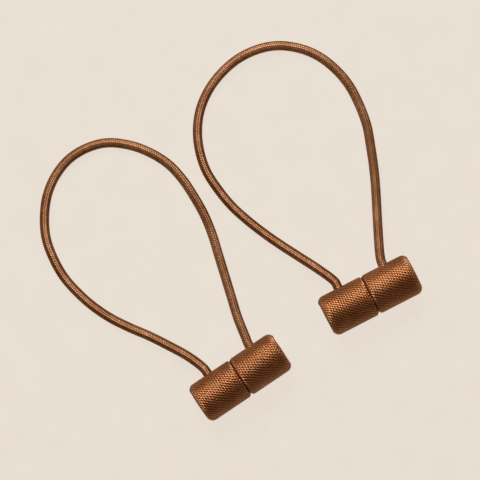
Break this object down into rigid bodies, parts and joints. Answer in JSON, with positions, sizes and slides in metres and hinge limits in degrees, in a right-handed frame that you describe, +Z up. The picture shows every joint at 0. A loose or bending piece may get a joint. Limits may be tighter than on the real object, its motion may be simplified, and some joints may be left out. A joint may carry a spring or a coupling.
{
  "type": "magnetic curtain tieback",
  "caption": "Magnetic curtain tiebacks: teardrop loops of braided cord whose ends enter cord-wound barrels that clasp end to end with disc magnets.",
  "frame": {"origin": "bottom centre of the box round the four barrels, on the table the pair lies on; the cords are left out of that box", "axes": "+X along tieback a's clasp from its left barrel to its right one, towards tieback b; +Y from the clasps towards the cord loops; +Z up"},
  "size_m": [0.1983, 0.175, 0.024],
  "materials": {
    "barrel_winding": "glossy twisted cord, wound",
    "cord_braid": "glossy braided yarn",
    "shell_plastic": "moulded, matt",
    "trim_plastic": "moulded, satin",
    "magnet_nickel": "nickel plated, lightly worn",
    "ferrule_metal": "crimped, plain"
  },
  "bodies": {
    "tieback_a_left_end": {"tieback_a_left_cover": "barrel_winding", "tieback_a_left_shell": "shell_plastic", "tieback_a_left_magnet": "magnet_nickel", "tieback_a_left_face_ring": "trim_plastic", "tieback_a_left_end_cap": "trim_plastic", "tieback_a_left_ferrule": "ferrule_metal", "tieback_a_cord_left": "cord_braid"},
    "tieback_a_right_end": {"tieback_a_right_cover": "barrel_winding", "tieback_a_right_shell": "shell_plastic", "tieback_a_right_magnet": "magnet_nickel", "tieback_a_right_face_ring": "trim_plastic", "tieback_a_right_end_cap": "trim_plastic", "tieback_a_right_ferrule": "ferrule_metal", "tieback_a_cord_right": "cord_braid"},
    "tieback_a_bow": {"tieback_a_cord_bow": "cord_braid"},
    "tieback_b_left_end": {"tieback_b_left_cover": "barrel_winding", "tieback_b_left_shell": "shell_plastic", "tieback_b_left_magnet": "magnet_nickel", "tieback_b_left_face_ring": "trim_plastic", "tieback_b_left_end_cap": "trim_plastic", "tieback_b_left_ferrule": "ferrule_metal", "tieback_b_cord_left": "cord_braid"},
    "tieback_b_right_end": {"tieback_b_right_cover": "barrel_winding", "tieback_b_right_shell": "shell_plastic", "tieback_b_right_magnet": "magnet_nickel", "tieback_b_right_face_ring": "trim_plastic", "tieback_b_right_end_cap": "trim_plastic", "tieback_b_right_ferrule": "ferrule_metal", "tieback_b_cord_right": "cord_braid"},
    "tieback_b_bow": {"tieback_b_cord_bow": "cord_braid"}
  },
  "joints": [
    {"name": "tieback_a_open", "type": "hinge", "parent": "tieback_a_right_end", "child": "tieback_a_bow", "pos_m": [-0.02056, 0.14702, 0.0025], "axis": [0, 0, -1], "range_deg": [0, 70]},
    {"name": "tieback_a_unbend", "type": "hinge", "parent": "tieback_a_bow", "child": "tieback_a_left_end", "pos_m": [-0.08641, 0.14026, 0.0025], "axis": [0, 0, -1], "range_deg": [0, 70]},
    {"name": "tieback_b_open", "type": "hinge", "parent": "tieback_b_left_end", "child": "tieback_b_bow", "pos_m": [0.02102, 0.14217, 0.0025], "axis": [0, 0, 1], "range_deg": [0, 70]},
    {"name": "tieback_b_unbend", "type": "hinge", "parent": "tieback_b_bow", "child": "tieback_b_right_end", "pos_m": [0.09631, 0.128, 0.0025], "axis": [0, 0, 1], "range_deg": [0, 70]},
    {"name": "tieback_b_lift", "type": "slide", "parent": "tieback_a_right_end", "child": "tieback_b_left_end", "axis": [0, 0, 1], "range_m": [0, 0.1]}
  ],
  "couplings": [
    {"joint": "tieback_a_unbend", "follows": "tieback_a_open", "ratio": 1},
    {"joint": "tieback_b_unbend", "follows": "tieback_b_open", "ratio": 1}
  ]
}
